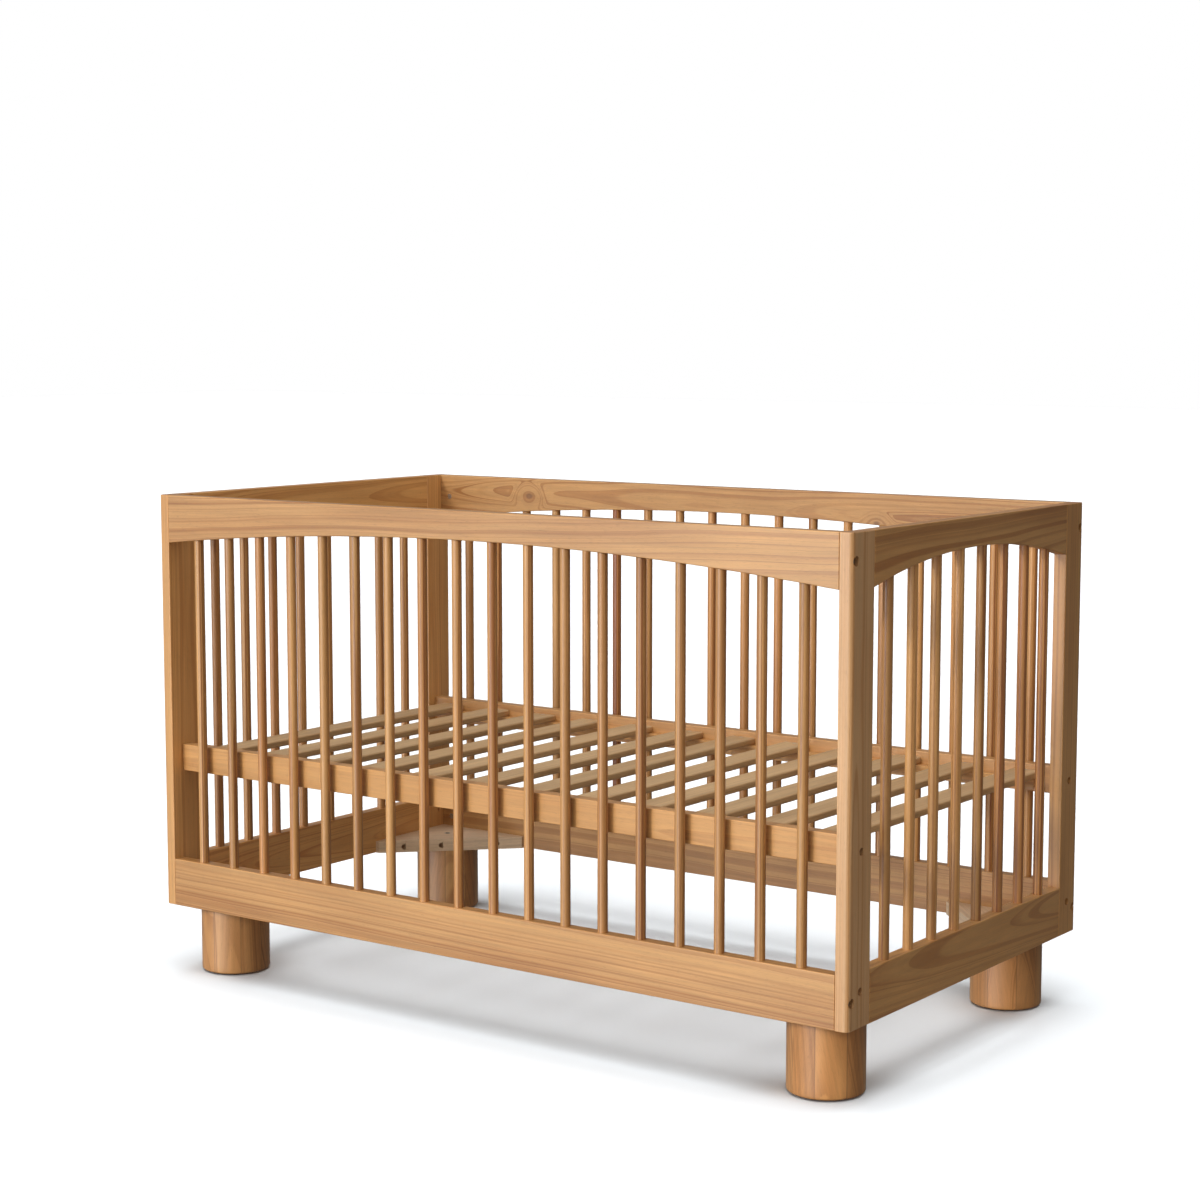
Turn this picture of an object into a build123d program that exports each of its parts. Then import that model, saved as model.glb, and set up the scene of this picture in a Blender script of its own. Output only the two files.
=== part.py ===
from build123d import *
import os
from math import sqrt

# Baby crib: two flat end frames joined by a front and a rear spindle panel, on four round feet,
# with a slatted mattress base between them that bolts on at two heights. Millimetres.
# X runs along the length, Y from the front (-) to the rear (+), Z up from the floor.

# Whole object
length = 1370.0
width = 755.0
height = 836.0
foot_height = 120.0
half_length = length / 2
half_width = width / 2

# Boards of the four sides
board = 22.0
post_width = 62.5
rail_depth = 82.0
arch_depth = 46.0
post_corner_radius = 8.0
edge_radius = 1.5
inner_x = half_length - board
inner_y = half_width - board
end_rail_half = half_width - post_width
end_centre = half_length - board / 2
side_centre = half_width - board / 2
frame_bottom = foot_height
bottom_rail_top = frame_bottom + rail_depth
bottom_rail_centre = frame_bottom + rail_depth / 2
top_rail_centre = height - rail_depth / 2

# Spindles
spindle_radius = 8.0
spindle_tenon = 12.0
socket_radius = spindle_radius + 0.05
side_spindles = 18
side_pitch = 70.7
end_spindles = 8
end_pitch = 73.0

# Mattress base
base_top = 401.0
base_rail_height = 46.0
base_rail_y = 343.0
base_end_gap = 0.6
base_bolt_z = base_top - base_rail_height / 2
base_drop = 204.0
base_half = inner_x - base_end_gap
base_rail_inner = base_rail_y - board / 2
slat_count = 12
slat_pitch = 111.5
slat_width = 50.0
slat_thickness = 12.0
slat_edge_radius = 3.5
slat_top = 391.5
slat_end_gap = 0.5
slat_bottom = slat_top - slat_thickness
ledger_size = 15.0
ledger_half = 634.0

# Feet and corner plates
foot_radius = 59.0
foot_inset = 84.0
foot_edge_radius = 4.0
glide_thickness = 2.5
glide_radius = 50.0
plate_thickness = 22.0
plate_leg = 203.0
plate_blunt = 8.0
plate_top = frame_bottom + plate_thickness
plate_middle = frame_bottom + plate_thickness / 2

# Fastenings
bolt_radius = 3.0
bolt_hole_radius = 3.5
frame_head_radius = 6.5
frame_head_seat = 7.5
base_head_radius = 5.5
base_head_seat = 6.0
head_thickness = 4.0
seat_depth = 11.0
hex_key = 4.0
hex_depth = 2.5
nut_radius = 5.0
nut_length = 15.0
nut_setback = 22.0
nut_clearance = 0.05
nut_hole_margin = 1.0
nut_cross_margin = 1.0
nut_slot_half_width = 0.75
nut_slot_depth = 1.0
bolt_past_nut = 6.0
bore_past_bolt = 2.0
dowel_radius = 4.0
end_dowel_length = 40.0
end_dowel_spread = 22.0
side_dowel_length = 30.0
side_dowel_in_post = 10.0
side_dowel_spread = 24.0
screw_radius = 2.0
screw_head_radius = 4.0
screw_point_cover = 3.0
plate_screw_radius = 2.5
plate_screw_head = 5.0
plate_screw_head_height = 3.0
plate_pocket_radius = 6.0
plate_screw_seat = 22.0
plate_screw_bite = 16.0
plate_screw_places = (0.18, 0.43)
foot_bolt_radius = 4.0
foot_bolt_in_foot = 45.0
insert_radius = 6.0
foot_bolt_below_plate_top = 2.0

SIDES = {"front": -1, "rear": 1}
ENDS = {"left": -1, "right": 1}
CORNERS = {f"{s}_{e}": (ENDS[e], SIDES[s]) for s in SIDES for e in ENDS}


def block(x0, x1, y0, y1, z0, z1):
    """A plain box between two corners, given in any order."""
    size = (abs(x1 - x0), abs(y1 - y0), abs(z1 - z0))
    return Pos((x0 + x1) / 2, (y0 + y1) / 2, (z0 + z1) / 2) * Box(*size)


def rod(radius, start, end):
    """A round bar between two points that lie on one axis-parallel line."""
    start, end = Vector(start), Vector(end)
    plane = Plane(origin=start, z_dir=end - start)
    return extrude(plane * Circle(radius), (end - start).length)


def arch_z(place, half_span):
    """Height of an arched rail's lower edge at a place along the rail."""
    rise = rail_depth - arch_depth
    radius = (half_span**2 + rise**2) / (2 * rise)
    return height - arch_depth - radius + sqrt(radius**2 - place**2)


def spread(count, pitch):
    """Evenly spaced places about the middle."""
    return [(i - (count - 1) / 2) * pitch for i in range(count)]


bolt_tip_x = inner_x - nut_setback - nut_radius - bolt_past_nut
side_places = spread(side_spindles, side_pitch)
end_places = spread(end_spindles, end_pitch)
slat_places = spread(slat_count, slat_pitch)


def bolt_bore(end, y, z, seat_radius):
    """Through hole in a post with a round seat for the bolt's head."""
    outer = end * half_length
    hole = rod(bolt_hole_radius, (outer, y, z), (end * inner_x, y, z))
    seat = rod(seat_radius, (outer, y, z), (outer - end * seat_depth, y, z))
    return hole + seat


def post(end, side):
    """Upright board of an end frame, with its outside corner well rounded."""
    x0, x1 = end * inner_x, end * half_length
    y0, y1 = side * end_rail_half, side * half_width
    body = block(x0, x1, y0, y1, frame_bottom, height)
    outside_corner = (x1, y1, (frame_bottom + height) / 2)
    body = fillet(body.edges().filter_by(Axis.Z).sort_by_distance(outside_corner)[1:], edge_radius)
    body = fillet(body.edges().filter_by(Axis.Z).sort_by_distance(outside_corner)[0], post_corner_radius)
    body = fillet(body.faces().filter_by(Axis.Z).edges(), edge_radius)
    for z in (bottom_rail_centre, top_rail_centre):
        body -= bolt_bore(end, side * side_centre, z, frame_head_seat)
        for dz in (-side_dowel_spread, side_dowel_spread):
            body -= side_dowel(end, side, z + dz)
        for dz in (-end_dowel_spread, end_dowel_spread):
            body -= end_dowel(end, side, z + dz)
    for z in (base_bolt_z, base_bolt_z - base_drop):
        body -= bolt_bore(end, side * base_rail_y, z, base_head_seat)
    return body


def end_dowel(end, side, z):
    """Glued dowel between an end rail and a post."""
    x = end * end_centre
    y = side * end_rail_half
    half = end_dowel_length / 2
    return rod(dowel_radius, (x, y - half, z), (x, y + half, z))


def side_dowel(end, side, z):
    """Locating dowel between a post and a front or rear rail."""
    x0 = end * (inner_x + side_dowel_in_post)
    x1 = x0 - end * side_dowel_length
    y = side * side_centre
    return rod(dowel_radius, (x0, y, z), (x1, y, z))


def straight_profile(plane, half_span):
    """Side view of a bottom rail."""
    return plane * Pos(0, bottom_rail_centre) * Rectangle(2 * half_span, rail_depth)


def arched_profile(plane, half_span):
    """Side view of a top rail: straight on top, one shallow arc below."""
    foot = height - rail_depth
    top = Polyline((-half_span, foot), (-half_span, height), (half_span, height), (half_span, foot))
    arc = ThreePointArc((half_span, foot), (0, height - arch_depth), (-half_span, foot))
    return plane * make_face(Curve() + [top, arc])


def soften(body):
    """Break every edge of a rail before its holes are drilled."""
    return fillet(body.edges(), edge_radius)


def end_rail(end, top):
    """Rail of an end frame, level with the faces of its posts."""
    profile = arched_profile if top else straight_profile
    plane = Plane((end * end_centre, 0, 0), x_dir=(0, 1, 0), z_dir=(1, 0, 0))
    body = soften(extrude(profile(plane, end_rail_half), board / 2, both=True))
    centre = top_rail_centre if top else bottom_rail_centre
    for side in (-1, 1):
        for dz in (-end_dowel_spread, end_dowel_spread):
            body -= end_dowel(end, side, centre + dz)
    for y in end_places:
        z = arch_z(y, end_rail_half) if top else bottom_rail_top
        body -= rod(socket_radius, (end * end_centre, y, z - spindle_tenon),
                    (end * end_centre, y, z + spindle_tenon))
    if not top:
        for side in (-1, 1):
            for _, seat, tip in plate_screw_lines(end, side)[::2]:
                body -= screw_hole(seat, tip)
    return body


def side_rail(side, top):
    """Front or rear rail, butted between two posts and drawn up by bolts in barrel nuts."""
    profile = arched_profile if top else straight_profile
    plane = Plane((0, side * side_centre, 0), x_dir=(1, 0, 0), z_dir=(0, -1, 0))
    body = soften(extrude(profile(plane, inner_x), board / 2, both=True))
    centre = top_rail_centre if top else bottom_rail_centre
    for end in (-1, 1):
        bore_end = end * (bolt_tip_x - bore_past_bolt)
        body -= rod(bolt_hole_radius, (end * inner_x, side * side_centre, centre),
                    (bore_end, side * side_centre, centre))
        body -= nut_socket(end * (inner_x - nut_setback), side * inner_y, side, centre)
        for dz in (-side_dowel_spread, side_dowel_spread):
            body -= side_dowel(end, side, centre + dz)
    for x in side_places:
        z = arch_z(x, inner_x) if top else bottom_rail_top
        body -= rod(socket_radius, (x, side * side_centre, z - spindle_tenon),
                    (x, side * side_centre, z + spindle_tenon))
    if not top:
        for end in (-1, 1):
            for _, seat, tip in plate_screw_lines(end, side)[1::2]:
                body -= screw_hole(seat, tip)
    return body


def nut_socket(x, face_y, outward, z):
    """Blind hole for a barrel nut, drilled outwards from a rail's inner face."""
    return rod(nut_radius + nut_clearance, (x, face_y, z),
               (x, face_y + outward * (nut_length + nut_hole_margin), z))


def side_spindle_set(side):
    """The round bars of the front or rear panel."""
    y = side * side_centre
    return [rod(spindle_radius, (x, y, bottom_rail_top - spindle_tenon),
                (x, y, arch_z(x, inner_x) + spindle_tenon)) for x in side_places]


def end_spindle_set(end):
    """The round bars of one end frame."""
    x = end * end_centre
    return [rod(spindle_radius, (x, y, bottom_rail_top - spindle_tenon),
                (x, y, arch_z(y, end_rail_half) + spindle_tenon)) for y in end_places]


def bolt(end, y, z, head_radius, tip):
    """Flat-headed bolt along X, sunk in a post, with a hexagon socket in its head."""
    top = end * (half_length - seat_depth + head_thickness)
    under = end * (half_length - seat_depth)
    head = rod(head_radius, (top, y, z), (under, y, z))
    shank = rod(bolt_radius, (under, y, z), (end * tip, y, z))
    face = Plane((top, y, z), z_dir=(-end, 0, 0))
    socket = extrude(face * RegularPolygon(hex_key / 2, 6, major_radius=False), hex_depth)
    return head + shank - socket


def barrel_nut(x, face_y, outward, z):
    """Cross-drilled round nut, its end level with the rail's inner face."""
    body = rod(nut_radius, (x, face_y, z), (x, face_y + outward * nut_length, z))
    y = face_y + outward * board / 2
    reach = nut_radius + nut_cross_margin
    body -= rod(bolt_radius + nut_clearance, (x - reach, y, z), (x + reach, y, z))
    slot_end = face_y + outward * nut_slot_depth
    return body - block(x - nut_radius, x + nut_radius, face_y, slot_end,
                        z - nut_slot_half_width, z + nut_slot_half_width)


def frame_bolt_set():
    return [bolt(end, side * side_centre, z, frame_head_radius, bolt_tip_x)
            for end, side in CORNERS.values() for z in (bottom_rail_centre, top_rail_centre)]


def frame_nut_set():
    return [barrel_nut(end * (inner_x - nut_setback), side * inner_y, side, z)
            for end, side in CORNERS.values() for z in (bottom_rail_centre, top_rail_centre)]


def base_bolt_set():
    """The base's bolts, modelled as far as the posts' inner faces."""
    return [bolt(end, side * base_rail_y, base_bolt_z, base_head_radius, inner_x)
            for end, side in CORNERS.values()]


def base_nut_set():
    return [barrel_nut(end * (inner_x - nut_setback), side * base_rail_inner, side, base_bolt_z)
            for end, side in CORNERS.values()]


def corner_plate(end, side):
    """Thick triangular plate in a bottom corner, with screw pockets in its long edge."""
    x, y = end * inner_x, side * inner_y
    outline = Polyline((x, y), (x - end * plate_leg, y), (x - end * plate_leg, y - side * plate_blunt),
                       (x - end * plate_blunt, y - side * plate_leg), (x, y - side * plate_leg), close=True)
    body = extrude(Pos(0, 0, frame_bottom) * make_face(outline), plate_thickness, dir=(0, 0, 1))
    for start, seat, tip in plate_screw_lines(end, side):
        body -= rod(plate_pocket_radius, start, seat)
        body -= screw_hole(seat, tip)
    fx, fy = foot_centre(end, side)
    return body - rod(insert_radius + nut_clearance, (fx, fy, frame_bottom), (fx, fy, plate_top))


def plate_screw_lines(end, side):
    """Outer end, head seat and tip of each screw: two into the end rail, two into the side rail."""
    x, y = end * inner_x, side * inner_y
    z = plate_middle
    lines = []
    for place in plate_screw_places:
        near = place * plate_leg
        far = plate_leg - near
        lines.append(((x - end * (near + plate_blunt), y - side * far, z),
                      (x - end * plate_screw_seat, y - side * far, z),
                      (x + end * plate_screw_bite, y - side * far, z)))
        lines.append(((x - end * far, y - side * (near + plate_blunt), z),
                      (x - end * far, y - side * plate_screw_seat, z),
                      (x - end * far, y + side * plate_screw_bite, z)))
    return lines


def screw_hole(seat, tip):
    """Hole for one corner plate screw, through the plate and on into its rail."""
    return rod(plate_screw_radius + nut_clearance, seat, tip)


def plate_screw(seat, tip):
    """Pan-headed wood screw lying in a corner plate's pocket."""
    seat, tip = Vector(seat), Vector(tip)
    along = (tip - seat).normalized()
    head = rod(plate_screw_head, seat - along * plate_screw_head_height, seat)
    return head + rod(plate_screw_radius, seat, tip)


def foot_centre(end, side):
    return end * (half_length - foot_inset), side * (half_width - foot_inset)


def foot(end, side):
    """Short turned foot, glued up from staves, with a bore for its bolt."""
    x, y = foot_centre(end, side)
    body = rod(foot_radius, (x, y, glide_thickness), (x, y, foot_height))
    lower = body.edges().filter_by(GeomType.CIRCLE).sort_by(Axis.Z)[0]
    body = fillet(lower, foot_edge_radius)
    return body - rod(foot_bolt_radius + nut_clearance, (x, y, foot_height - foot_bolt_in_foot),
                      (x, y, foot_height))


def glide(end, side):
    """Thin round pad that the foot stands on."""
    x, y = foot_centre(end, side)
    return rod(glide_radius, (x, y, 0), (x, y, glide_thickness))


def foot_bolt(end, side):
    """Headless bolt that stands up out of the foot into the corner plate's insert."""
    x, y = foot_centre(end, side)
    return rod(foot_bolt_radius, (x, y, foot_height - foot_bolt_in_foot),
               (x, y, plate_top - foot_bolt_below_plate_top))


def foot_insert(end, side):
    """Threaded sleeve pressed into the corner plate."""
    x, y = foot_centre(end, side)
    sleeve = rod(insert_radius, (x, y, frame_bottom), (x, y, plate_top))
    return sleeve - rod(foot_bolt_radius + nut_clearance, (x, y, frame_bottom), (x, y, plate_top))


def base_side_rail(side):
    """Long edge board of the mattress base."""
    y0, y1 = side * base_rail_inner, side * (base_rail_inner + board)
    body = soften(block(-base_half, base_half, y0, y1, base_top - base_rail_height, base_top))
    for end in (-1, 1):
        bore_end = end * (bolt_tip_x - bore_past_bolt)
        body -= rod(bolt_hole_radius, (end * base_half, side * base_rail_y, base_bolt_z),
                    (bore_end, side * base_rail_y, base_bolt_z))
        body -= nut_socket(end * (inner_x - nut_setback), y0, side, base_bolt_z)
    return body


def base_ledger(side):
    """Square strip along the inside of a base rail, under the ends of the slats."""
    y0, y1 = side * (base_rail_inner - ledger_size), side * base_rail_inner
    body = block(-ledger_half, ledger_half, y0, y1, slat_bottom - ledger_size, slat_bottom)
    for x in slat_places:
        body -= slat_screw(x, side)
    return body


def slat(x):
    """Flat cross slat with rounded long edges."""
    half_y = base_rail_inner - slat_end_gap
    half_x = slat_width / 2
    body = block(x - half_x, x + half_x, -half_y, half_y, slat_bottom, slat_top)
    body = fillet(body.edges().filter_by(Axis.Y), slat_edge_radius)
    for side in (-1, 1):
        body -= slat_screw(x, side)
    return body


def slat_screw(x, side):
    """Countersunk screw down through a slat's end into the ledger."""
    y = side * (base_rail_inner - ledger_size / 2)
    head = screw_head_radius - screw_radius
    cone = Pos(x, y, slat_top - head / 2) * Cone(screw_radius, screw_head_radius, head)
    point = slat_bottom - ledger_size + screw_point_cover
    return cone + rod(screw_radius, (x, y, point), (x, y, slat_top - head))


def build():
    """Every piece of the crib by name, each a list of separate solids."""
    nodes = {}
    for name, (end, side) in CORNERS.items():
        nodes[f"post_{name}"] = [post(end, side)]
        nodes[f"corner_plate_{name}"] = [corner_plate(end, side)]
        nodes[f"foot_{name}"] = [foot(end, side)]
        nodes[f"glide_{name}"] = [glide(end, side)]
    for name, end in ENDS.items():
        nodes[f"end_top_rail_{name}"] = [end_rail(end, True)]
        nodes[f"end_bottom_rail_{name}"] = [end_rail(end, False)]
        nodes[f"spindles_{name}"] = end_spindle_set(end)
    for name, side in SIDES.items():
        nodes[f"top_rail_{name}"] = [side_rail(side, True)]
        nodes[f"bottom_rail_{name}"] = [side_rail(side, False)]
        nodes[f"spindles_{name}"] = side_spindle_set(side)
        nodes[f"base_rail_{name}"] = [base_side_rail(side)]
        nodes[f"base_ledger_{name}"] = [base_ledger(side)]
    for number, x in enumerate(slat_places, 1):
        nodes[f"slat_{number:02d}"] = [slat(x)]
    rail_heights = (bottom_rail_centre, top_rail_centre)
    nodes["end_frame_dowels"] = [end_dowel(end, side, z + dz) for end, side in CORNERS.values()
                                 for z in rail_heights for dz in (-end_dowel_spread, end_dowel_spread)]
    nodes["side_rail_dowels"] = [side_dowel(end, side, z + dz) for end, side in CORNERS.values()
                                 for z in rail_heights for dz in (-side_dowel_spread, side_dowel_spread)]
    nodes["frame_bolts"] = frame_bolt_set()
    nodes["frame_barrel_nuts"] = frame_nut_set()
    nodes["base_bolts"] = base_bolt_set()
    nodes["base_barrel_nuts"] = base_nut_set()
    nodes["corner_plate_screws"] = [plate_screw(seat, tip) for end, side in CORNERS.values()
                                    for _, seat, tip in plate_screw_lines(end, side)]
    nodes["foot_bolts"] = [foot_bolt(end, side) for end, side in CORNERS.values()]
    nodes["foot_insert_nuts"] = [foot_insert(end, side) for end, side in CORNERS.values()]
    nodes["slat_screws"] = [slat_screw(x, side) for x in slat_places for side in (-1, 1)]
    return nodes


os.makedirs("parts", exist_ok=True)
for name, pieces in build().items():
    solids = [solid for piece in pieces for solid in piece.solids()]
    export_step(solids[0] if len(solids) == 1 else Compound(children=solids), f"parts/{name}.step")
    print(name, len(solids), "solid" if len(solids) == 1 else "solids")
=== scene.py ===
import math
import random

import bmesh
import bpy
from mathutils import Matrix, Vector


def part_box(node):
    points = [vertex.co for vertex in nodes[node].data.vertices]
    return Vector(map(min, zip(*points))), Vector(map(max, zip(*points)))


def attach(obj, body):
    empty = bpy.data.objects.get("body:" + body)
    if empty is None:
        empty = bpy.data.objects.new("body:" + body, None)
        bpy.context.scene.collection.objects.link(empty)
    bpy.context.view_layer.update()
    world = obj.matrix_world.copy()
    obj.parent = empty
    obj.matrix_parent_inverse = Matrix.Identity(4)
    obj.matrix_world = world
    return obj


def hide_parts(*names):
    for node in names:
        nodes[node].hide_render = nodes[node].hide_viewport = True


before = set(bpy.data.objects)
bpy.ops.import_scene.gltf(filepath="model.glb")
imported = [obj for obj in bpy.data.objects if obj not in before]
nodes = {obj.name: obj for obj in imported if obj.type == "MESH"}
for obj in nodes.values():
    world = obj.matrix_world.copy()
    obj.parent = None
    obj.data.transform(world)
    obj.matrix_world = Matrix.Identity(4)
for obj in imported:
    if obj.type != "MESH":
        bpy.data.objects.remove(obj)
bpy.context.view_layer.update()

# ---------------------------------------------------------------------------
# The four corner posts: upright pine boards that close the ends of the crib.
# Each is planed, its outside corner is rounded over by hand with a router and
# sanded, and the whole board has two coats of clear satin lacquer.

MM = 0.001
ALONG_X = Vector((1, 0, 0))
ALONG_Y = Vector((0, 1, 0))
ALONG_Z = Vector((0, 0, 1))
PALE_PINE = (0.60, 0.315, 0.108, 1)
DARK_RING = (0.42, 0.175, 0.045, 1)


def add(tree, kind, inputs=None, **settings):
    """Adds a shader node. An input is a plain value or the output of another node."""
    made = tree.nodes.new("ShaderNode" + kind)
    for name, value in settings.items():
        setattr(made, name, value)
    for socket, value in (inputs or {}).items():
        if isinstance(value, bpy.types.NodeSocket):
            tree.links.new(value, made.inputs[socket])
        else:
            made.inputs[socket].default_value = value
    return made


def calc(tree, operation, *values):
    """The result of one sum."""
    return add(tree, "Math", dict(enumerate(values)), operation=operation).outputs[0]


def fade(tree, value, start, end, to_start=0.0, to_end=1.0):
    """A smooth change from one value to another while the input goes from start to end."""
    inputs = {0: value, 1: start, 2: end, 3: to_start, 4: to_end}
    return add(tree, "MapRange", inputs, interpolation_type="SMOOTHSTEP").outputs[0]


def grain_noise(tree, place, along, across, detail):
    """Noise drawn out along the grain. along and across are its counts in a metre."""
    stretch = add(tree, "VectorMath", {0: place, 1: (along, across, across)}, operation="MULTIPLY")
    made = add(tree, "TexNoise", {"Vector": stretch.outputs[0], "Scale": 1.0, "Detail": detail})
    return made.outputs["Fac"], made.outputs["Color"]


def start_group(name, inputs, outputs):
    """An empty node group with named sockets."""
    tree = bpy.data.node_groups.new(name, "ShaderNodeTree")
    for socket, kind in inputs.items():
        tree.interface.new_socket(name=socket, in_out="INPUT", socket_type="NodeSocket" + kind)
    for socket, kind in outputs.items():
        tree.interface.new_socket(name=socket, in_out="OUTPUT", socket_type="NodeSocket" + kind)
    source = tree.nodes.new("NodeGroupInput").outputs
    return tree, source, tree.nodes.new("NodeGroupOutput")


def make_log_group():
    """Pine as it grew: rings round a pith line, pale early wood and dark late wood, fibres along."""
    wanted = {"Log": "Vector", "Ring": "Float", "Wave": "Float", "Contrast": "Float", "Tone": "Float"}
    wanted.update({"Pale": "Color", "Dark": "Color", "End": "Float", "Knot": "Float"})
    given = {"Color": "Color", "Roughness": "Float", "Height": "Float"}
    tree, source, result = start_group("pine_log", wanted, given)
    log = source["Log"]
    drift = grain_noise(tree, log, 1.9, 8.0, 2.0)[1]
    drift = add(tree, "VectorMath", {0: drift, 1: (0.5, 0.5, 0.5)}, operation="SUBTRACT")
    reach = add(tree, "CombineXYZ", {1: source["Wave"], 2: source["Wave"]})
    drift = add(tree, "VectorMath", {0: drift.outputs[0], 1: reach.outputs[0]}, operation="MULTIPLY")
    bent = add(tree, "VectorMath", {0: log, 1: drift.outputs[0]}, operation="ADD")
    flat = add(tree, "VectorMath", {0: bent.outputs[0], 1: (0, 1, 1)}, operation="MULTIPLY")
    radius = add(tree, "VectorMath", {0: flat.outputs[0]}, operation="LENGTH").outputs["Value"]
    uneven = add(tree, "TexNoise", {"W": calc(tree, "MULTIPLY", radius, 55.0)}, noise_dimensions="1D")
    uneven = calc(tree, "MULTIPLY", uneven.outputs["Fac"], 1.6)
    count = calc(tree, "ADD", calc(tree, "DIVIDE", radius, source["Ring"]), uneven)
    share = calc(tree, "FRACT", count)
    season = add(tree, "TexWhiteNoise", {"W": calc(tree, "FLOOR", count)}, noise_dimensions="1D")
    season = calc(tree, "MULTIPLY_ADD", season.outputs["Value"], 0.6, 0.4)
    late = calc(tree, "MULTIPLY", fade(tree, share, 0.3, 0.9), fade(tree, share, 0.92, 1.0, 1.0, 0.0))
    late = calc(tree, "MULTIPLY", calc(tree, "MULTIPLY", late, season), source["Contrast"])
    cloud = grain_noise(tree, log, 2.6, 16.0, 2.0)[0]
    streak = grain_noise(tree, log, 5.0, 190.0, 2.0)[0]
    fibre = grain_noise(tree, log, 18.0, 900.0, 3.0)[0]
    fleck = fade(tree, grain_noise(tree, log, 90.0, 1500.0, 0.0)[0], 0.66, 0.76)
    wood = add(tree, "Mix", {0: late, 6: source["Pale"], 7: source["Dark"]}, data_type="RGBA").outputs[2]
    warm = calc(tree, "MULTIPLY", fade(tree, cloud, 0.42, 0.72), 0.45)
    amber = {0: warm, 6: wood, 7: (1.0, 0.84, 0.64, 1)}
    wood = add(tree, "Mix", amber, data_type="RGBA", blend_type="MULTIPLY").outputs[2]
    light = calc(tree, "MULTIPLY_ADD", cloud, -0.5, 1.25)
    light = calc(tree, "ADD", light, calc(tree, "MULTIPLY_ADD", streak, 0.34, -0.17))
    light = calc(tree, "ADD", light, calc(tree, "MULTIPLY_ADD", fibre, 0.26, -0.13))
    light = calc(tree, "ADD", light, calc(tree, "MULTIPLY", source["Tone"], 0.22))
    light = calc(tree, "SUBTRACT", light, calc(tree, "MULTIPLY", fleck, 0.14))
    wood = add(tree, "VectorMath", {0: wood, "Scale": light}, operation="SCALE").outputs[0]
    knot = {0: source["Knot"], 6: wood, 7: (0.17, 0.07, 0.028, 1)}
    wood = add(tree, "Mix", knot, data_type="RGBA").outputs[2]
    cut = {0: source["End"], 6: wood, 7: (0.68, 0.58, 0.48, 1)}
    wood = add(tree, "Mix", cut, data_type="RGBA", blend_type="MULTIPLY").outputs[2]
    tree.links.new(wood, result.inputs["Color"])
    rough = calc(tree, "MULTIPLY_ADD", fibre, 0.16, 0.40)
    rough = calc(tree, "SUBTRACT", rough, calc(tree, "MULTIPLY", late, 0.08))
    tree.links.new(calc(tree, "MULTIPLY_ADD", source["End"], 0.12, rough), result.inputs["Roughness"])
    height = calc(tree, "MULTIPLY_ADD", late, 0.5, calc(tree, "MULTIPLY", fibre, 0.6))
    tree.links.new(calc(tree, "SUBTRACT", height, fleck), result.inputs["Height"])
    return tree


def make_edge_group():
    """How near a point is to the sanded edges of a squared board, from 0 to 1."""
    wanted = {"Place": "Vector", "Middle": "Vector", "Half": "Vector", "Width": "Float"}
    tree, source, result = start_group("board_edge", wanted, {"Edge": "Float"})
    off = add(tree, "VectorMath", {0: source["Place"], 1: source["Middle"]}, operation="SUBTRACT")
    off = add(tree, "VectorMath", {0: off.outputs[0]}, operation="ABSOLUTE")
    left = add(tree, "VectorMath", {0: source["Half"], 1: off.outputs[0]}, operation="SUBTRACT")
    x, y, z = add(tree, "SeparateXYZ", {0: left.outputs[0]}).outputs
    near = calc(tree, "MINIMUM", calc(tree, "MAXIMUM", x, y), calc(tree, "MAXIMUM", y, z))
    near = calc(tree, "MINIMUM", near, calc(tree, "MAXIMUM", x, z))
    inputs = {0: near, 1: 0.0, 2: source["Width"], 3: 1.0, 4: 0.0}
    edge = add(tree, "MapRange", inputs, interpolation_type="SMOOTHSTEP").outputs[0]
    tree.links.new(edge, result.inputs["Edge"])
    return tree


pine_log = make_log_group()
board_edge = make_edge_group()


def start_material(name, coat):
    """An empty wood material with a clear lacquer coat, as its tree, shader and coordinates."""
    made = bpy.data.materials.new(name)
    made.use_nodes = True
    tree = made.node_tree
    shader = tree.nodes["Principled BSDF"]
    shader.inputs["Coat Weight"].default_value = coat
    shader.inputs["Coat Roughness"].default_value = 0.35
    shader.inputs["IOR"].default_value = 1.46
    return made, tree, shader, add(tree, "TexCoord").outputs


def finish_wood(tree, shader, wood, edge, relief):
    """Joins the log's colour, roughness and relief to the shader. The colour is paler along the edges, partly as
    wear where they were rubbed and partly as a painted highlight where the rounded edges catch the light.
    """
    # Paler near the edges: a painted highlight of the rounded edges, mixed with edge wear.
    edge_wear_and_highlight = calc(tree, "MULTIPLY_ADD", edge, 0.10, 1.0)
    colour = add(tree, "VectorMath", {0: wood.outputs["Color"], "Scale": edge_wear_and_highlight}, operation="SCALE")
    tree.links.new(colour.outputs[0], shader.inputs["Base Color"])
    rubbed = calc(tree, "MULTIPLY_ADD", edge, -0.08, wood.outputs["Roughness"])
    tree.links.new(rubbed, shader.inputs["Roughness"])
    bump = {"Height": wood.outputs["Height"], "Distance": relief, "Strength": 0.6}
    tree.links.new(add(tree, "Bump", bump).outputs[0], shader.inputs["Normal"])


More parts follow.
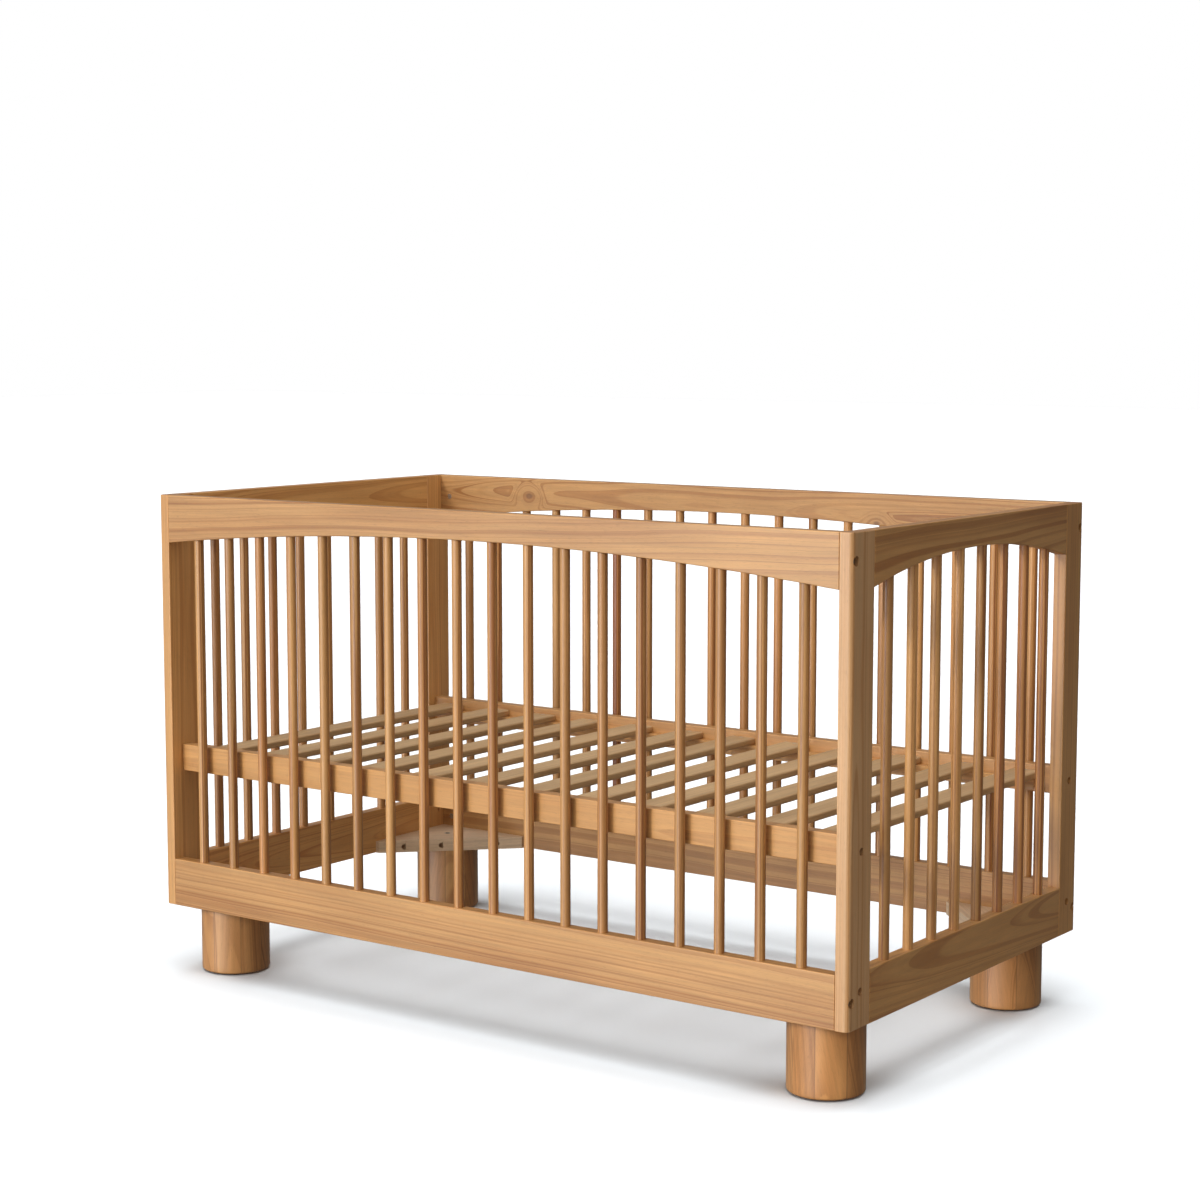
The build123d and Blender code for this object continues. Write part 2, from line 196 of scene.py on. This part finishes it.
def pine(name, board, along, across, pith, lean=(0, 0), ring=5.0, wave=8.0, contrast=0.8, tone=0.0,
         pale=PALE_PINE, dark=DARK_RING, coat=0.6, knots=()):
    """Lacquered pine for one squared board. pith is how far the log's middle lies across the face
    and behind it, ring the ring width and wave the rings' wandering, in mm. lean is in degrees.
    knots holds (along, across, radius) of each knot from the middle of the board, in mm."""
    made, tree, shader, place = start_material(name, coat)
    low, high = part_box(board)
    middle = (low + high) / 2
    rows = Matrix((along, across, along.cross(across)))
    turn = Matrix.Rotation(math.radians(lean[0]), 3, "Z") @ Matrix.Rotation(math.radians(lean[1]), 3, "Y")
    turn = turn @ rows
    shift = Vector((0, pith[0], pith[1])) * MM - turn @ middle
    inputs = {"Vector": place["Object"], "Location": shift, "Rotation": turn.to_euler()}
    log = add(tree, "Mapping", inputs).outputs[0]
    core = 0.0
    for far, off, radius in knots:
        heart = middle + along * far * MM + across * off * MM
        apart = add(tree, "VectorMath", {0: place["Object"], 1: heart}, operation="SUBTRACT").outputs[0]
        apart = add(tree, "VectorMath", {0: apart, 1: (1.0, 0.0, 1.6)}, operation="MULTIPLY")
        apart = add(tree, "VectorMath", {0: apart.outputs[0]}, operation="LENGTH").outputs["Value"]
        swirl = fade(tree, apart, 0.0, radius * 6 * MM, radius * 2.4 * MM, 0.0)
        bend = add(tree, "CombineXYZ", {2: swirl}).outputs[0]
        log = add(tree, "VectorMath", {0: log, 1: bend}, operation="ADD").outputs[0]
        dark_heart = fade(tree, apart, radius * 0.4 * MM, radius * 1.3 * MM, 0.75, 0.0)
        core = calc(tree, "ADD", core, dark_heart)
    facing = add(tree, "VectorMath", {0: place["Normal"], 1: along}, operation="DOT_PRODUCT").outputs["Value"]
    end = fade(tree, calc(tree, "ABSOLUTE", facing), 0.6, 0.95)
    inputs = {"Log": log, "Ring": ring * MM, "Wave": wave * MM, "Contrast": contrast, "Tone": tone}
    inputs.update({"Pale": pale, "Dark": dark, "End": end, "Knot": core})
    wood = add(tree, "Group", node_tree=pine_log)
    for socket, value in inputs.items():
        if isinstance(value, bpy.types.NodeSocket):
            tree.links.new(value, wood.inputs[socket])
        else:
            wood.inputs[socket].default_value = value
    sides = {"Middle": middle, "Half": (high - low) / 2, "Width": 3.5 * MM}
    edge = add(tree, "Group", node_tree=board_edge)
    tree.links.new(place["Object"], edge.inputs["Place"])
    for socket, value in sides.items():
        edge.inputs[socket].default_value = value
    finish_wood(tree, shader, wood, edge.outputs[0], 0.15 * MM)
    return made


def dress(node, material):
    """Puts one material on all of a part."""
    for place in nodes[node].material_slots:
        place.material = material


# The front right post gets a paler, less saturated colour and a lighter tone than the others. This is painted
# sheen, standing in for the lacquer's reflection of the light on its front face.
dress("post_front_right", pine("pine_post_front_right", "post_front_right", ALONG_Z, ALONG_Y, (14, 60), tone=0.4,
                              pale=(0.57, 0.33, 0.15, 1)))
dress("post_front_left", pine("pine_post_front_left", "post_front_left", ALONG_Z, ALONG_Y, (-9, 48)))
dress("post_rear_left", pine("pine_post_rear_left", "post_rear_left", ALONG_Z, ALONG_Y, (22, 55), (0.4, 0)))
dress("post_rear_right", pine("pine_post_rear_right", "post_rear_right", ALONG_Z, ALONG_Y, (-30, 40)))

# ---------------------------------------------------------------------------
# The end rails: an arched board at the top and a straight one below, set
# between the posts of each end and glued to them on dowels. The arch is sawn,
# shaped with a spindle moulder and sanded.

for side, pith_top, pith_bottom in (("left", (-12, 30), (8, 30)), ("right", (45, 90), (-20, 48))):
    top = "end_top_rail_" + side
    bottom = "end_bottom_rail_" + side
    dress(top, pine("pine_" + top, top, ALONG_Y, ALONG_Z, pith_top, (0.8, 1.6), 7.5, 12.0, 1.0))
    dress(bottom, pine("pine_" + bottom, bottom, ALONG_Y, ALONG_Z, pith_bottom, (0.5, 2.0), 7.0,
                      contrast=1.0))

# ---------------------------------------------------------------------------
# The front and rear rails: long boards between the ends. The top ones are
# arched underneath, and all four are bolted through the posts into barrel nuts.

front_boards = ("front", (70, 60), (-60, 75), (-1.6, 0.5), 11.0, -0.5, ())
rear_boards = ("rear", (-6, 24), (40, 60), (1.0, 1.6), 8.0, -0.9, ((-445, 8, 9), (310, -10, 7)))
for side, pith_top, pith_bottom, lean, ring, tone, knots in (front_boards, rear_boards):
    top = "top_rail_" + side
    bottom = "bottom_rail_" + side
    dress(top, pine("pine_" + top, top, ALONG_X, ALONG_Z, pith_top, lean, ring, 22.0, 1.1, tone,
                   knots=knots))
    dress(bottom, pine("pine_" + bottom, bottom, ALONG_X, ALONG_Z, pith_bottom, (0.6, 0.2), 8.0,
                      contrast=1.0, tone=tone))

# ---------------------------------------------------------------------------
# The spindles: 52 turned pine rods, glued into blind holes in the rails. They
# come from many boards, so each has a tone and a run of grain of its own.

SPINDLE_RADIUS = 8.0 * MM
SPINDLE_CHAMFER = 1.0 * MM
SPINDLE_SIDES = 32
SPINDLE_LENGTHS = 6


def mesh_object(name, shape, smooth_below=40.0):
    """A new object from a bmesh, with soft shading where the faces meet at less than that angle."""
    data = bpy.data.meshes.new(name)
    bmesh.ops.recalc_face_normals(shape, faces=shape.faces)
    shape.to_mesh(data)
    shape.free()
    data.shade_smooth()
    data.set_sharp_from_angle(angle=math.radians(smooth_below))
    made = bpy.data.objects.new(name, data)
    bpy.context.scene.collection.objects.link(made)
    return made


def turned(shape, outline, sides, turn):
    """Adds a round piece to a bmesh: outline is its (radius, height) points, turn moves it in place."""
    rings = []
    for radius, height in outline:
        angles = [2 * math.pi * n / sides for n in range(sides)]
        points = [Vector((radius * math.cos(a), radius * math.sin(a), height)) for a in angles]
        rings.append([shape.verts.new(turn @ p) for p in points])
    for lower, upper in zip(rings, rings[1:]):
        for n in range(sides):
            after = (n + 1) % sides
            shape.faces.new((lower[n], lower[after], upper[after], upper[n]))
    shape.faces.new(list(reversed(rings[0])))
    shape.faces.new(rings[-1])


def solids_along(node, axis, gap):
    """The (lowest, highest) corners of each separate solid of a part, in order along one axis."""
    points = sorted((v.co.copy() for v in nodes[node].data.vertices), key=lambda p: p[axis])
    groups = [[points[0]]]
    for before, point in zip(points, points[1:]):
        if point[axis] - before[axis] > gap:
            groups.append([])
        groups[-1].append(point)
    return [(Vector(map(min, *g)), Vector(map(max, *g))) for g in groups]


def spindle_pine(name):
    """Lacquered pine that reads its place in the log, its tone and its warmth from the mesh."""
    made, tree, shader, place = start_material(name, 0.6)
    log = add(tree, "Attribute", attribute_name="log").outputs["Vector"]
    tone = add(tree, "Attribute", attribute_name="tone").outputs["Fac"]
    red = add(tree, "Attribute", attribute_name="red").outputs["Fac"]
    facing = add(tree, "VectorMath", {0: place["Normal"], 1: ALONG_Z}, operation="DOT_PRODUCT")
    end = fade(tree, calc(tree, "ABSOLUTE", facing.outputs["Value"]), 0.6, 0.95)
    pale = {0: red, 6: (0.62, 0.33, 0.115, 1), 7: (0.52, 0.23, 0.07, 1)}
    dark = {0: red, 6: (0.34, 0.13, 0.035, 1), 7: (0.26, 0.085, 0.025, 1)}
    wood = add(tree, "Group", node_tree=pine_log)
    tree.links.new(log, wood.inputs["Log"])
    tree.links.new(tone, wood.inputs["Tone"])
    tree.links.new(end, wood.inputs["End"])
    tree.links.new(add(tree, "Mix", pale, data_type="RGBA").outputs[2], wood.inputs["Pale"])
    tree.links.new(add(tree, "Mix", dark, data_type="RGBA").outputs[2], wood.inputs["Dark"])
    wood.inputs["Ring"].default_value = 4.2 * MM
    wood.inputs["Wave"].default_value = 5.0 * MM
    wood.inputs["Contrast"].default_value = 1.1
    finish_wood(tree, shader, wood, 0.0, 0.12 * MM)
    return made


def number_mesh(piece, name, values):
    """Stores one number for each point of a mesh."""
    kept = piece.data.attributes.new(name, "FLOAT", "POINT")
    kept.data.foreach_set("value", values)


def log_place(piece, along, chance, pith, lean):
    """Stores where each point of a mesh lay in the log that it was turned from."""
    across = Vector((along.y, along.z, along.x))
    rows = Matrix((along, across, along.cross(across)))
    spin = Matrix.Rotation(chance.uniform(0, 2 * math.pi), 3, "X")
    tilt = Matrix.Rotation(chance.uniform(-lean, lean), 3, "Z")
    start = Vector((chance.uniform(-20, 20), 0, chance.uniform(*pith)))
    kept = piece.data.attributes.new("log", "FLOAT_VECTOR", "POINT")
    middle = sum((v.co for v in piece.data.vertices), Vector()) / len(piece.data.vertices)
    for vertex, item in zip(piece.data.vertices, kept.data):
        item.vector = tilt @ spin @ rows @ (vertex.co - middle) + start


spindle_wood = spindle_pine("pine_spindle")
chance = random.Random(7)
for side, axis in (("front", 0), ("rear", 0), ("left", 1), ("right", 1)):
    group = "spindles_" + side
    for number, (low, high) in enumerate(solids_along(group, axis, SPINDLE_RADIUS), 1):
        middle = (low + high) / 2
        step = (high.z - low.z - 2 * SPINDLE_CHAMFER) / SPINDLE_LENGTHS
        outline = [(SPINDLE_RADIUS - SPINDLE_CHAMFER, low.z)]
        for n in range(SPINDLE_LENGTHS + 1):
            outline.append((SPINDLE_RADIUS, low.z + SPINDLE_CHAMFER + n * step))
        outline.append((SPINDLE_RADIUS - SPINDLE_CHAMFER, high.z))
        shape = bmesh.new()
        turned(shape, outline, SPINDLE_SIDES, Matrix.Translation((middle.x, middle.y, 0)))
        spindle = mesh_object(f"spindle_{side}_{number:02d}", shape)
        log_place(spindle, ALONG_Z, chance, (0.02, 0.12), math.radians(1.2))
        points = len(spindle.data.vertices)
        number_mesh(spindle, "tone", [chance.uniform(-0.6, 0.5)] * points)
        number_mesh(spindle, "red", [chance.random() ** 3] * points)
        spindle.data.materials.append(spindle_wood)
        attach(spindle, "crib_frame")
        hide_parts(group)

# ---------------------------------------------------------------------------
# The dowels: short fluted beech pins, glued into the rail ends and the posts.
# They are out of sight once the frame is together.

BEECH_PALE = (0.62, 0.42, 0.26, 1)
BEECH_DARK = (0.44, 0.25, 0.13, 1)

for node, along, across in (("end_frame_dowels", ALONG_Y, ALONG_Z), ("side_rail_dowels", ALONG_X, ALONG_Z)):
    beech = pine("beech_" + node, node, along, across, (5, 90), ring=1.6, wave=2.0, contrast=0.5,
                 pale=BEECH_PALE, dark=BEECH_DARK, coat=0.0)
    dress(node, beech)

# ---------------------------------------------------------------------------
# The corner plates: triangles of pale board in the bottom corners, sawn, drilled
# and left without lacquer. Each stiffens its corner and takes a foot's bolt.

PLATE_PALE = (0.78, 0.59, 0.40, 1)
PLATE_DARK = (0.58, 0.42, 0.28, 1)

for end_name, end in (("left", -1), ("right", 1)):
    for side_name, side in (("front", -1), ("rear", 1)):
        plate = f"corner_plate_{side_name}_{end_name}"
        along = Vector((end, -side, 0)).normalized()
        board = pine("board_" + plate, plate, along, ALONG_Z, (-30, 25), (1.5, 1.0), ring=5.5, contrast=0.5,
                     pale=PLATE_PALE, dark=PLATE_DARK, coat=0.1)
        dress(plate, board)

# ---------------------------------------------------------------------------
# The fastenings: bolts, barrel nuts, inserts and screws of turned or cold-formed
# steel, plated with bright zinc. The bolt heads sit deep in bored seats.


def plated_steel(name, axis):
    """Zinc plate on steel: cloudy grey metal with fine marks from turning round one axis."""
    made = bpy.data.materials.new(name)
    made.use_nodes = True
    tree = made.node_tree
    shader = tree.nodes["Principled BSDF"]
    place = add(tree, "TexCoord").outputs["Object"]
    cloud = add(tree, "TexNoise", {"Vector": place, "Scale": 420.0, "Detail": 3.0}).outputs["Fac"]
    marks = Vector((700, 700, 700)) + Vector(axis) * 9000
    stretch = add(tree, "VectorMath", {0: place, 1: marks}, operation="MULTIPLY").outputs[0]
    marks = add(tree, "TexNoise", {"Vector": stretch, "Scale": 1.0, "Detail": 2.0}).outputs["Fac"]
    tint = {0: fade(tree, cloud, 0.35, 0.65), 6: (0.42, 0.43, 0.45, 1), 7: (0.60, 0.60, 0.58, 1)}
    tint = add(tree, "Mix", tint, data_type="RGBA").outputs[2]
    light = calc(tree, "MULTIPLY_ADD", marks, 0.3, 0.85)
    tint = add(tree, "VectorMath", {0: tint, "Scale": light}, operation="SCALE").outputs[0]
    tree.links.new(tint, shader.inputs["Base Color"])
    rough = calc(tree, "ADD", calc(tree, "MULTIPLY", cloud, 0.2), calc(tree, "MULTIPLY_ADD", marks, 0.15, 0.15))
    tree.links.new(rough, shader.inputs["Roughness"])
    bump = {"Height": marks, "Distance": 0.03 * MM, "Strength": 0.5}
    tree.links.new(add(tree, "Bump", bump).outputs[0], shader.inputs["Normal"])
    shader.inputs["Metallic"].default_value = 1.0
    return made


zinc_along_x = plated_steel("zinc_turned_along_x", ALONG_X)
zinc_along_y = plated_steel("zinc_turned_along_y", ALONG_Y)
zinc_upright = plated_steel("zinc_turned_upright", ALONG_Z)
for node in ("frame_bolts", "base_bolts"):
    dress(node, zinc_along_x)
for node in ("frame_barrel_nuts", "base_barrel_nuts", "corner_plate_screws"):
    dress(node, zinc_along_y)
for node in ("foot_bolts", "foot_insert_nuts", "slat_screws"):
    dress(node, zinc_upright)

# ---------------------------------------------------------------------------
# The feet: short thick rounds. Pine boards are glued face to face into a block,
# which is turned, eased at its lower edge and lacquered. The glue lines show.

STAVE = 27.0 * MM
FOOT_SIDES = 96
FOOT_EASE = 4.0 * MM
FOOT_TOP_CHAMFER = 0.8 * MM
EASE_STEPS = 6
HEIGHT_STEPS = 8


def stave_pine(name, middle, turn_degrees):
    """Lacquered pine glued up from boards: each board has its own tone and place in the log."""
    made, tree, shader, place = start_material(name, 0.6)
    turn = Matrix.Rotation(math.radians(turn_degrees), 3, "Z")
    shift = -(turn @ middle)
    inputs = {"Vector": place["Object"], "Location": shift, "Rotation": turn.to_euler()}
    x, y, z = add(tree, "SeparateXYZ", {0: add(tree, "Mapping", inputs).outputs[0]}).outputs
    share = calc(tree, "DIVIDE", x, STAVE)
    number = calc(tree, "FLOOR", share)
    chance = add(tree, "TexWhiteNoise", {"W": number, "Vector": middle}, noise_dimensions="4D").outputs
    first, second, third = add(tree, "SeparateColor", {0: chance["Color"]}).outputs
    across = calc(tree, "ADD", calc(tree, "MULTIPLY_ADD", first, 60 * MM, -30 * MM), y)
    depth = calc(tree, "ADD", calc(tree, "MULTIPLY_ADD", second, 50 * MM, 20 * MM), x)
    slant = calc(tree, "MULTIPLY", calc(tree, "MULTIPLY_ADD", third, 0.5, -0.25), z)
    log = {0: calc(tree, "ADD", z, number), 1: calc(tree, "ADD", across, slant), 2: depth}
    gap = calc(tree, "ABSOLUTE", calc(tree, "SUBTRACT", calc(tree, "FRACT", share), 0.5))
    glue = fade(tree, gap, 0.478, 0.497)
    facing = add(tree, "VectorMath", {0: place["Normal"], 1: ALONG_Z}, operation="DOT_PRODUCT")
    end = fade(tree, calc(tree, "ABSOLUTE", facing.outputs["Value"]), 0.6, 0.95)
    pale = {0: second, 6: (0.62, 0.33, 0.12, 1), 7: (0.54, 0.24, 0.075, 1)}
    wood = add(tree, "Group", node_tree=pine_log)
    tree.links.new(add(tree, "CombineXYZ", log).outputs[0], wood.inputs["Log"])
    tree.links.new(calc(tree, "MULTIPLY_ADD", third, 1.4, -0.7), wood.inputs["Tone"])
    tree.links.new(add(tree, "Mix", pale, data_type="RGBA").outputs[2], wood.inputs["Pale"])
    tree.links.new(calc(tree, "MULTIPLY", glue, 0.5), wood.inputs["Knot"])
    tree.links.new(end, wood.inputs["End"])
    wood.inputs["Dark"].default_value = (0.34, 0.13, 0.035, 1)
    wood.inputs["Ring"].default_value = 5.0 * MM
    wood.inputs["Wave"].default_value = 5.0 * MM
    wood.inputs["Contrast"].default_value = 0.8
    finish_wood(tree, shader, wood, 0.0, 0.15 * MM)
    return made


for number, corner in enumerate(("front_right", "front_left", "rear_right", "rear_left")):
    low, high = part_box("foot_" + corner)
    radius = (high.x - low.x) / 2
    outline = []
    for n in range(EASE_STEPS + 1):
        angle = math.pi / 2 * n / EASE_STEPS
        outline.append((radius - FOOT_EASE * (1 - math.sin(angle)), low.z + FOOT_EASE * (1 - math.cos(angle))))
    for n in range(1, HEIGHT_STEPS + 1):
        wall = high.z - low.z - FOOT_EASE - FOOT_TOP_CHAMFER
        outline.append((radius, low.z + FOOT_EASE + wall * n / HEIGHT_STEPS))
    outline.append((radius - FOOT_TOP_CHAMFER, high.z))
    shape = bmesh.new()
    middle = (low + high) / 2
    turned(shape, outline, FOOT_SIDES, Matrix.Translation((middle.x, middle.y, 0)))
    foot = mesh_object("turned_foot_" + corner, shape)
    foot.data.materials.append(stave_pine("staves_foot_" + corner, middle, 52 + 9 * number))
    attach(foot, "crib_frame")
    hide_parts("foot_" + corner)

# ---------------------------------------------------------------------------
# The glides: thin round pads of dark pressed felt under the feet, held on with
# glue, so that the crib slides without marking a floor.


def felt(name):
    """Dark wool felt: a matted pile with lighter hairs and a soft, uneven surface."""
    made = bpy.data.materials.new(name)
    made.use_nodes = True
    tree = made.node_tree
    shader = tree.nodes["Principled BSDF"]
    place = add(tree, "TexCoord").outputs["Object"]
    pile = add(tree, "TexNoise", {"Vector": place, "Scale": 900.0, "Detail": 4.0}).outputs["Fac"]
    hairs = add(tree, "TexVoronoi", {"Vector": place, "Scale": 1400.0}, feature="DISTANCE_TO_EDGE")
    hairs = fade(tree, hairs.outputs["Distance"], 0.02, 0.1, 1.0, 0.0)
    tint = {0: fade(tree, pile, 0.3, 0.7), 6: (0.020, 0.017, 0.015, 1), 7: (0.055, 0.046, 0.038, 1)}
    tint = {0: hairs, 6: add(tree, "Mix", tint, data_type="RGBA").outputs[2], 7: (0.10, 0.085, 0.07, 1)}
    tree.links.new(add(tree, "Mix", tint, data_type="RGBA").outputs[2], shader.inputs["Base Color"])
    tree.links.new(calc(tree, "MULTIPLY_ADD", pile, 0.15, 0.82), shader.inputs["Roughness"])
    bump = {"Height": calc(tree, "ADD", pile, hairs), "Distance": 0.2 * MM, "Strength": 0.7}
    tree.links.new(add(tree, "Bump", bump).outputs[0], shader.inputs["Normal"])
    shader.inputs["Sheen Weight"].default_value = 0.3
    return made


glide_felt = felt("felt_glides")
for corner in ("front_right", "front_left", "rear_right", "rear_left"):
    dress("glide_" + corner, glide_felt)

# ---------------------------------------------------------------------------
# The mattress base: two lacquered pine side rails with a thin strip glued and
# screwed inside each, bolted to the posts through either of two sets of holes.

for side, pith in (("front", (8, 46)), ("rear", (-18, 52))):
    rail = "base_rail_" + side
    ledger = "base_ledger_" + side
    dress(rail, pine("pine_" + rail, rail, ALONG_X, ALONG_Z, pith, (0.3, 0.4), ring=5.0, contrast=0.7))
    strip = pine("pine_" + ledger, ledger, ALONG_X, ALONG_Z, (20, 40), (0.2, 0.1), contrast=0.6, coat=0.0)
    dress(ledger, strip)

# ---------------------------------------------------------------------------
# The slats: twelve flat crosspieces of planed pine without lacquer, their long
# edges rounded, each screwed down at both ends into the strips.

SLAT_PALE = (0.60, 0.40, 0.205, 1)
SLAT_DARK = (0.42, 0.25, 0.11, 1)
SLATS = 12

chance = random.Random(21)
for number in range(1, SLATS + 1):
    slat = f"slat_{number:02d}"
    pith = (chance.uniform(-40, 40), chance.uniform(18, 70))
    lean = (chance.uniform(-0.6, 0.6), chance.uniform(-0.6, 0.6))
    wood = pine("pine_" + slat, slat, ALONG_Y, ALONG_X, pith, lean, ring=chance.uniform(3.5, 5.5), wave=5.0,
                contrast=0.5, tone=chance.uniform(-0.3, 0.4), pale=SLAT_PALE, dark=SLAT_DARK, coat=0.15)
    dress(slat, wood)

# ---------------------------------------------------------------------------
# The studio: a plain white floor, one large soft light high on the left of the
# front and a weak warm return from the right.

floor_shape = bmesh.new()
bmesh.ops.create_grid(floor_shape, x_segments=1, y_segments=1, size=30)
floor = mesh_object("floor", floor_shape)
floor_paint = bpy.data.materials.new("floor_white")
floor_paint.use_nodes = True
floor_shader = floor_paint.node_tree.nodes["Principled BSDF"]
floor_shader.inputs["Base Color"].default_value = (0.86, 0.90, 0.93, 1)
floor_shader.inputs["Roughness"].default_value = 0.9
floor_shader.inputs["Specular IOR Level"].default_value = 0.1
floor.data.materials.append(floor_paint)
floor.visible_diffuse = False
floor.visible_glossy = False


def sun(name, direction, strength, colour, spread, things, state, only_shine=False):
    """A light from far away: direction is where it comes from, spread its width in degrees.
    It lights the named things alone (INCLUDE) or all but them (EXCLUDE), as screens would."""
    lamp = bpy.data.lights.new(name, "SUN")
    lamp.energy = strength
    lamp.color = colour
    lamp.angle = math.radians(spread)
    made = bpy.data.objects.new(name, lamp)
    made.rotation_euler = Vector(direction).to_track_quat("Z", "Y").to_euler()
    bpy.context.scene.collection.objects.link(made)
    lit = bpy.data.collections.new(name + "_lights")
    for number, thing in enumerate(things):
        lit.objects.link(thing)
        lit.collection_objects[number].light_linking.link_state = state
    made.light_linking.receiver_collection = lit
    made.visible_diffuse = not only_shine


near_lamp = bpy.data.lights.new("near_lamp", "AREA")
near_lamp.shape = "DISK"
near_lamp.size = 0.5
near_lamp.energy = 0.42
near_light = bpy.data.objects.new("near_light", near_lamp)
near_light.location = (1.35, -0.34, 0.55)
near_light.rotation_euler = (0, math.radians(90), 0)
near_light.visible_camera = False
near_light.visible_glossy = False
bpy.context.scene.collection.objects.link(near_light)

floor_only = [floor]
left_names = ("post_front_left", "post_rear_left", "end_top_rail_left", "end_bottom_rail_left")
left_end = [nodes[name] for name in left_names]
WHITE = (1.0, 1.0, 1.0)
sun("key_light", (-0.25, -1.0, 0.5), 1.3, (1.0, 0.99, 0.97), 12, floor_only, "EXCLUDE")
sun("top_light", (0.0, -0.1, 1.0), 1.3, WHITE, 80, floor_only, "EXCLUDE")
sun("return_light", (1.0, -0.3, 0.15), 0.95, (1.0, 0.95, 0.88), 60, left_end, "INCLUDE")
sun("side_light", (1.0, -0.5, 0.1), 0.05, (1.0, 0.95, 0.88), 60, floor_only, "EXCLUDE")
shaded = [floor, nodes["top_rail_rear"], nodes["bottom_rail_rear"], nodes["base_rail_front"]]
sun("shine_light", (-0.36, -0.93, -0.06), 1.6, WHITE, 20, shaded, "EXCLUDE", True)
sun("floor_light", (0.03, -0.08, 1.0), 3.55, WHITE, 56, floor_only, "INCLUDE")

world = bpy.data.worlds.new("studio")
world.use_nodes = True
bpy.context.scene.world = world
sky = world.node_tree
sky.nodes.clear()
seen = add(sky, "Background", {"Color": (1, 1, 1, 1), "Strength": 1.0})
direction = add(sky, "TexCoord").outputs["Generated"]
toward = add(sky, "VectorMath", {0: direction, 1: (-0.6, -0.5, 0.6)}, operation="DOT_PRODUCT").outputs["Value"]
softbox = add(sky, "VectorMath", {0: direction, 1: (-0.17, -0.985, 0.05)}, operation="DOT_PRODUCT")
softbox = fade(sky, softbox.outputs["Value"], 0.82, 0.95, 0.0, 2.2)
bright = calc(sky, "ADD", fade(sky, toward, -0.5, 0.9, 0.14, 0.33), softbox)
tint = {0: fade(sky, toward, -0.6, 0.6), 6: (1.0, 0.88, 0.76, 1), 7: (1.0, 1.0, 1.0, 1)}
fill = add(sky, "Background", {"Color": add(sky, "Mix", tint, data_type="RGBA").outputs[2], "Strength": bright})
ray = add(sky, "LightPath").outputs["Is Camera Ray"]
mixed = add(sky, "MixShader", {0: ray, 1: fill.outputs[0], 2: seen.outputs[0]})
sky.links.new(mixed.outputs[0], add(sky, "OutputWorld").inputs["Surface"])
bpy.context.scene.view_settings.view_transform = "Standard"

# The camera stands at a standing adult's shoulder height, off the right front corner.
CAMERA_PLACE = (2.3807, -3.3285, 1.1132)
CAMERA_YAW = 35.825
CAMERA_PITCH = -6.263
CAMERA_LENS = 73.18
lens = bpy.data.cameras.new("camera")
lens.lens = CAMERA_LENS
lens.sensor_width = 36.0
camera = bpy.data.objects.new("camera", lens)
camera.location = CAMERA_PLACE
camera.rotation_euler = (math.radians(90 + CAMERA_PITCH), 0, math.radians(CAMERA_YAW))
bpy.context.scene.collection.objects.link(camera)
bpy.context.scene.camera = camera
